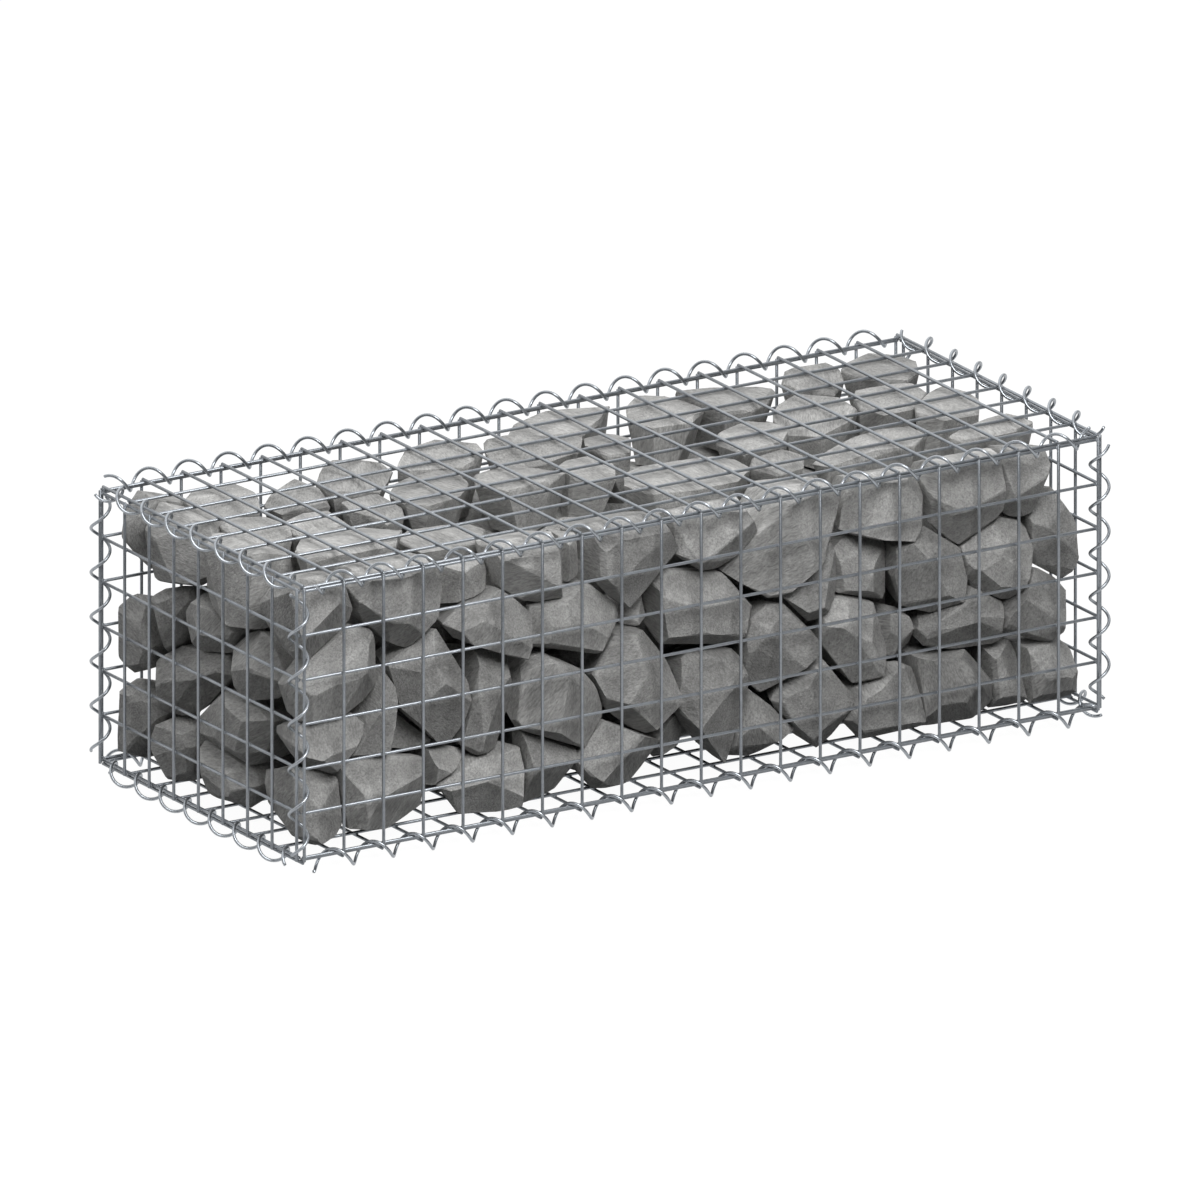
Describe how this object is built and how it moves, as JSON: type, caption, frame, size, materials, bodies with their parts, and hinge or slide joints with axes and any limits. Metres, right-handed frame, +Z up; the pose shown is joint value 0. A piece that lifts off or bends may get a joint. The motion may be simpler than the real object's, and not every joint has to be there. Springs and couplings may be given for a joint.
{
  "type": "gabion wall",
  "caption": "Low gabion wall: a box of welded square wire mesh, laced along its edges with spiral wires and filled with angular grey quarry stones.",
  "frame": {"origin": "centre of the footprint, on the ground under the lowest turns of the bottom spirals", "axes": "+X along the wall to the right as seen from the front, +Y from the front to the back, +Z up"},
  "size_m": [1.034, 0.434, 0.3352],
  "materials": {
    "mesh_wire": "galvanised, satin",
    "spiral_wire": "galvanised, bright",
    "quarry_stone": "rough broken faces"
  },
  "bodies": {
    "root": {"front_panel": "mesh_wire", "back_panel": "mesh_wire", "left_end_panel": "mesh_wire", "right_end_panel": "mesh_wire", "base_panel": "mesh_wire", "lid_panel": "mesh_wire", "front_top_spiral": "spiral_wire", "front_bottom_spiral": "spiral_wire", "back_top_spiral": "spiral_wire", "back_bottom_spiral": "spiral_wire", "left_top_spiral": "spiral_wire", "left_bottom_spiral": "spiral_wire", "right_top_spiral": "spiral_wire", "right_bottom_spiral": "spiral_wire", "front_left_spiral": "spiral_wire", "front_right_spiral": "spiral_wire", "back_left_spiral": "spiral_wire", "back_right_spiral": "spiral_wire", "front_stones_bottom": "quarry_stone", "front_stones_lower": "quarry_stone", "front_stones_upper": "quarry_stone", "front_stones_top": "quarry_stone", "second_stones_bottom": "quarry_stone", "second_stones_lower": "quarry_stone", "second_stones_upper": "quarry_stone", "second_stones_top": "quarry_stone", "third_stones_bottom": "quarry_stone", "third_stones_lower": "quarry_stone", "third_stones_upper": "quarry_stone", "third_stones_top": "quarry_stone", "back_stones_bottom": "quarry_stone", "back_stones_lower": "quarry_stone", "back_stones_upper": "quarry_stone", "back_stones_top": "quarry_stone"}
  },
  "joints": []
}
